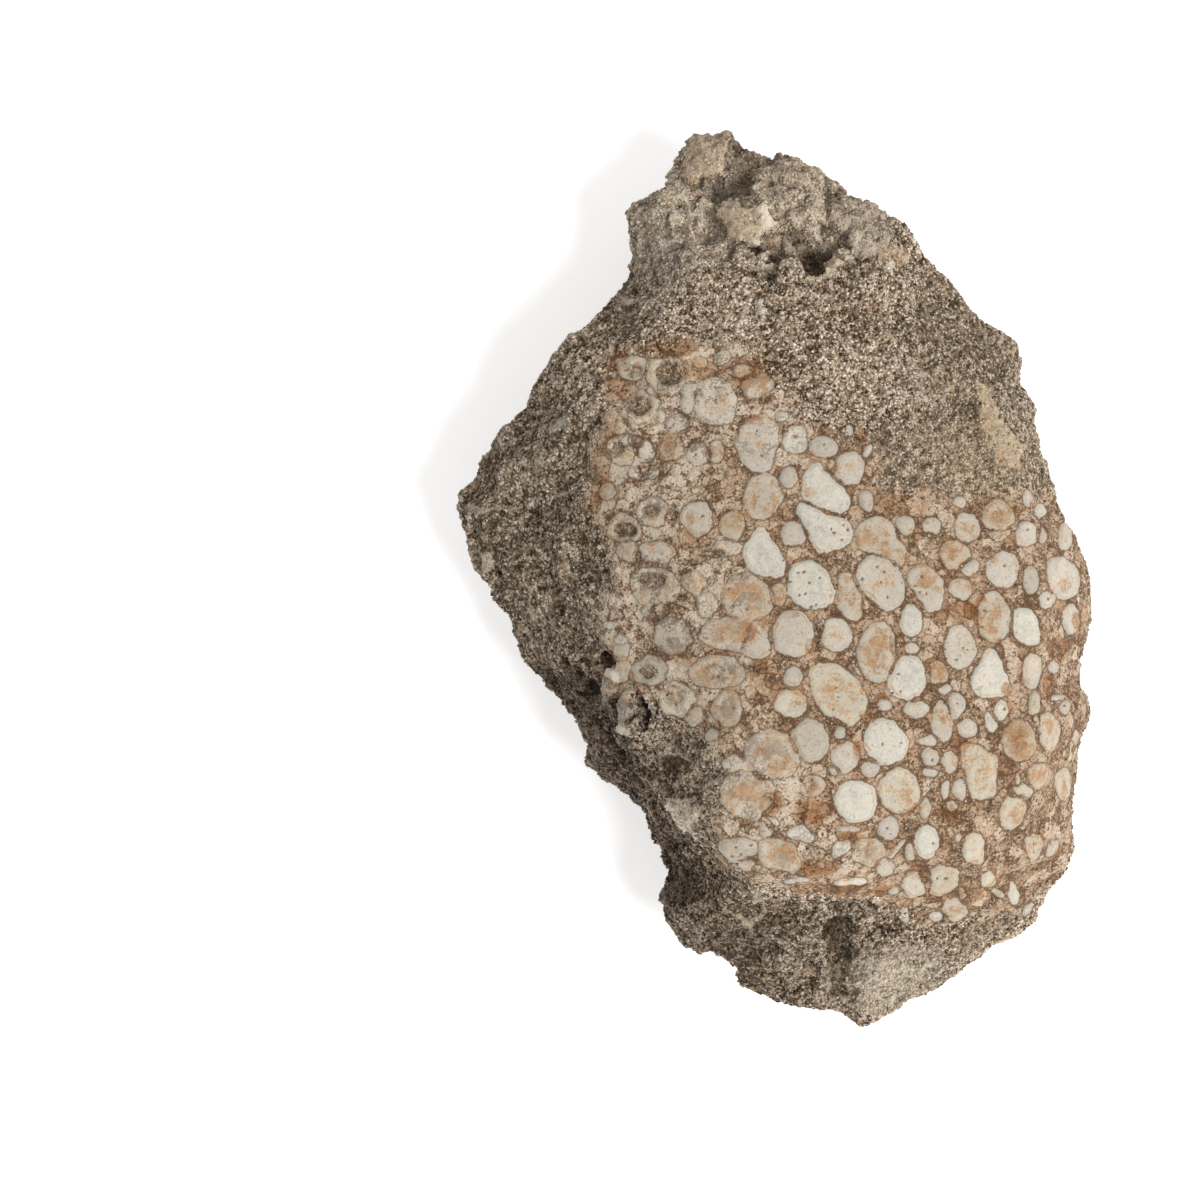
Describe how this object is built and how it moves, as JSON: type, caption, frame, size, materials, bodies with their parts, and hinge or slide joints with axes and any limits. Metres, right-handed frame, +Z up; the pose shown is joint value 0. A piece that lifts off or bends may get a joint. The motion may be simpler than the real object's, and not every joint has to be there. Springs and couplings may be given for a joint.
{
  "type": "fossil coral",
  "caption": "Loose lump of fossil coral: round worn corallites in brown limestone matrix, on a small flat spot.",
  "frame": {"origin": "centre of the bounding box in plan, on the ground under the flat spot", "axes": "+Z up, +Y along the long side towards the narrow broken end, +X to the right of it seen from above"},
  "size_m": [0.0728, 0.1036, 0.0381],
  "materials": {
    "limestone": "dull, granular broken limestone with smooth worn coral discs"
  },
  "bodies": {
    "root": {"coral_stone": "limestone"}
  },
  "joints": []
}
